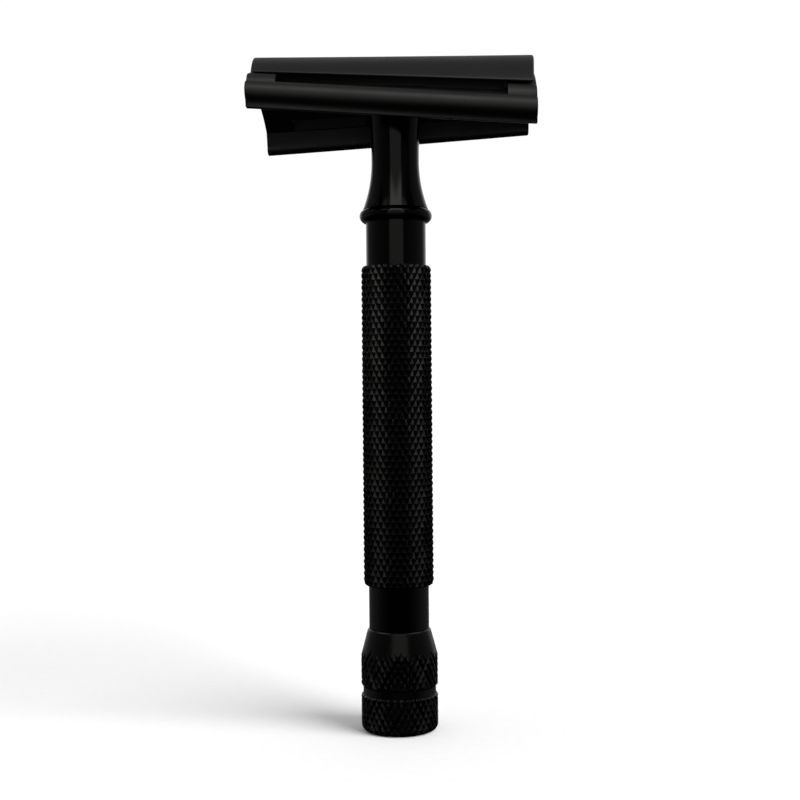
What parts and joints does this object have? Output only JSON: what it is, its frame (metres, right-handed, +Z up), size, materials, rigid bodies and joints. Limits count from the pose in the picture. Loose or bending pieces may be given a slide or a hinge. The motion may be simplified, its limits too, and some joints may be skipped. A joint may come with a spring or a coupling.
{
  "type": "safety razor",
  "caption": "Black metal safety razor with a slanted double-edge head, a domed cap, a slim knurled handle and a twist knob at its foot that raises the cap.",
  "frame": {"origin": "centre of the knob's flat foot, on the handle's axis, where the razor stands on a surface", "axes": "+Z up the handle to the cap, +X along the head, -Y towards the side that the picture shows"},
  "size_m": [0.041, 0.0258, 0.0998],
  "materials": {
    "head_black": "satin black coating",
    "neck_black": "glossy black coating on turned metal",
    "handle_black": "glossy black coating on turned metal",
    "grip_black": "semi-gloss black coating on diamond knurling",
    "screw_black": "black oxide",
    "stud_steel": "turned steel",
    "rod_steel": "turned steel",
    "bush_brass": "turned brass"
  },
  "bodies": {
    "handle_body": {"base_plate": "head_black", "neck": "neck_black", "collar_ring": "neck_black", "handle_tube": "handle_black", "grip_sleeve": "grip_black", "lower_bush": "bush_brass", "stop_bush": "bush_brass"},
    "cap_body": {"cap": "head_black", "cap_stud": "stud_steel", "locating_pin_left": "stud_steel", "locating_pin_right": "stud_steel"},
    "knob_body": {"knob": "grip_black", "drive_rod": "rod_steel", "stud_socket": "bush_brass", "socket_pin": "rod_steel", "thrust_washer": "rod_steel", "disc_spring": "rod_steel", "knob_screw": "screw_black"}
  },
  "joints": [
    {"name": "knob_turn", "type": "hinge", "parent": "handle_body", "child": "knob_body", "pos_m": [0, 0, 0], "axis": [0, 0, -1], "range_deg": [0, 3600]},
    {"name": "cap_lift", "type": "slide", "parent": "handle_body", "child": "cap_body", "axis": [0, 0, 1], "range_m": [0, 0.008]}
  ],
  "couplings": [
    {"joint": "cap_lift", "follows": "knob_turn", "m_per_rad": 0.00012732}
  ]
}
